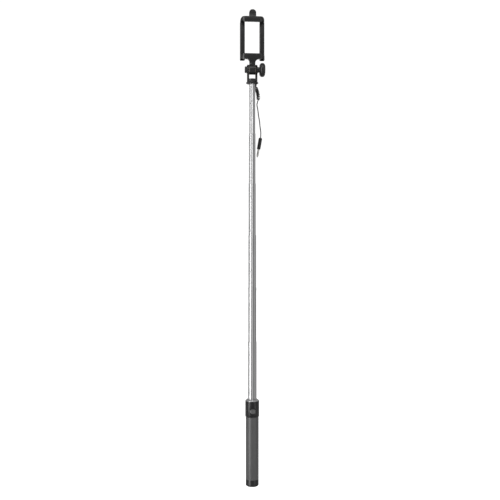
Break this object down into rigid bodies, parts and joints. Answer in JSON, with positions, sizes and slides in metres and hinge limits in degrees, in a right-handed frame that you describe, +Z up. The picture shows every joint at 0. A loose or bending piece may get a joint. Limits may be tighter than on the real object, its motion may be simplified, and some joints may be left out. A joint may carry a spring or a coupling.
{
  "type": "telescopic selfie stick",
  "caption": "Telescopic stick of fluted steel tubes with a hand grip and shutter button, a tilting fork with a thumb knob, a sprung phone clamp and a short curly lead with a jack plug.",
  "frame": {"origin": "centre of the end cap's flat bottom face, on the stick's axis", "axes": "+Z up the stick from the end cap to the clamp, -Y towards the side with the shutter button, +X towards the thumb knob"},
  "size_m": [0.0439, 0.0278, 0.8328],
  "materials": {
    "black_plastic": "satin",
    "grip_grey": "satin",
    "core_plastic": "matte",
    "bush_plastic": "matte",
    "tube_steel": "satin",
    "ring_silver": "polished",
    "button_grey": "satin",
    "board_green": "satin",
    "plain_steel": "satin",
    "nut_dark": "satin",
    "washer_fibre": "matte",
    "pad_rubber": "matte",
    "cover_grey": "satin",
    "cable_black": "satin",
    "jack_metal": "polished",
    "ring_black": "satin"
  },
  "bodies": {
    "handle": {"end_cap": "black_plastic", "cable_anchor": "core_plastic", "handle_core": "core_plastic", "grip_sleeve": "grip_grey", "collar_housing": "black_plastic", "guide_bush": "bush_plastic", "trim_ring": "ring_silver", "switch_board": "board_green", "tact_switch": "plain_steel", "switch_lead": "cable_black", "inner_cable_0": "cable_black"},
    "button": {"shutter_button": "button_grey"},
    "stage_1": {"tube_1": "tube_steel", "foot_bush_1": "bush_plastic", "inner_cable_1": "cable_black"},
    "stage_2": {"tube_2": "tube_steel", "foot_bush_2": "bush_plastic", "inner_cable_2": "cable_black"},
    "stage_3": {"tube_3": "tube_steel", "foot_bush_3": "bush_plastic", "inner_cable_3": "cable_black"},
    "stage_4": {"tube_4": "tube_steel", "foot_bush_4": "bush_plastic", "inner_cable_4": "cable_black"},
    "stage_5": {"tube_5": "tube_steel", "foot_bush_5": "bush_plastic", "inner_cable_5": "cable_black"},
    "stage_6": {"tube_6": "tube_steel", "foot_bush_6": "bush_plastic", "inner_cable_6": "cable_black", "fork": "black_plastic", "tube_pins": "plain_steel", "hex_nut": "nut_dark", "nut_washer": "plain_steel", "friction_washers": "washer_fibre", "lead_gland": "black_plastic", "curly_lead": "cable_black", "thin_lead": "cable_black", "plug_body": "black_plastic", "jack_pin": "jack_metal", "jack_rings": "ring_black"},
    "knob_carrier": {"knob_washer": "plain_steel"},
    "knob": {"thumb_knob": "black_plastic", "pivot_bolt": "plain_steel"},
    "clamp": {"clamp_base": "black_plastic", "rail_left": "black_plastic", "rail_right": "black_plastic", "cover_left": "cover_grey", "cover_right": "cover_grey", "spring_left": "plain_steel", "spring_right": "plain_steel", "lower_pad": "pad_rubber"},
    "top_jaw": {"upper_jaw": "black_plastic", "upper_pad": "pad_rubber", "guide_rods": "plain_steel", "rod_clips": "plain_steel"}
  },
  "joints": [
    {"name": "button_press", "type": "slide", "parent": "handle", "child": "button", "axis": [0, 1, 0], "range_m": [0, 0.0004], "stiffness_N_per_m": 2500, "springref_m": -0.0002},
    {"name": "tube_1_slide", "type": "slide", "parent": "handle", "child": "stage_1", "axis": [0, 0, 1], "range_m": [-0.0951, 0], "deforming": ["inner_cable_0"]},
    {"name": "tube_2_slide", "type": "slide", "parent": "stage_1", "child": "stage_2", "axis": [0, 0, 1], "range_m": [-0.0898, 0], "deforming": ["inner_cable_1"]},
    {"name": "tube_3_slide", "type": "slide", "parent": "stage_2", "child": "stage_3", "axis": [0, 0, 1], "range_m": [-0.0871, 0], "deforming": ["inner_cable_2"]},
    {"name": "tube_4_slide", "type": "slide", "parent": "stage_3", "child": "stage_4", "axis": [0, 0, 1], "range_m": [-0.0855, 0], "deforming": ["inner_cable_3"]},
    {"name": "tube_5_slide", "type": "slide", "parent": "stage_4", "child": "stage_5", "axis": [0, 0, 1], "range_m": [-0.0826, 0], "deforming": ["inner_cable_4"]},
    {"name": "tube_6_slide", "type": "slide", "parent": "stage_5", "child": "stage_6", "axis": [0, 0, 1], "range_m": [-0.0813, 0], "deforming": ["inner_cable_5"]},
    {"name": "clamp_tilt", "type": "hinge", "parent": "stage_6", "child": "clamp", "pos_m": [0, 0, 0.7295], "axis": [1, 0, 0], "range_deg": [-90, 90]},
    {"name": "knob_travel", "type": "slide", "parent": "stage_6", "child": "knob_carrier", "axis": [1, 0, 0], "range_m": [0, 0.0021]},
    {"name": "knob_turn", "type": "hinge", "parent": "knob_carrier", "child": "knob", "pos_m": [0.0177, 0, 0.7295], "axis": [1, 0, 0], "range_deg": [0, 720]},
    {"name": "jaw_slide", "type": "slide", "parent": "clamp", "child": "top_jaw", "axis": [0, 0, 1], "range_m": [0, 0.03], "stiffness_N_per_m": 400, "springref_m": -0.012, "deforming": ["spring_left", "spring_right"]}
  ],
  "couplings": [
    {"joint": "knob_travel", "follows": "knob_turn", "m_per_rad": 0.00015915}
  ]
}
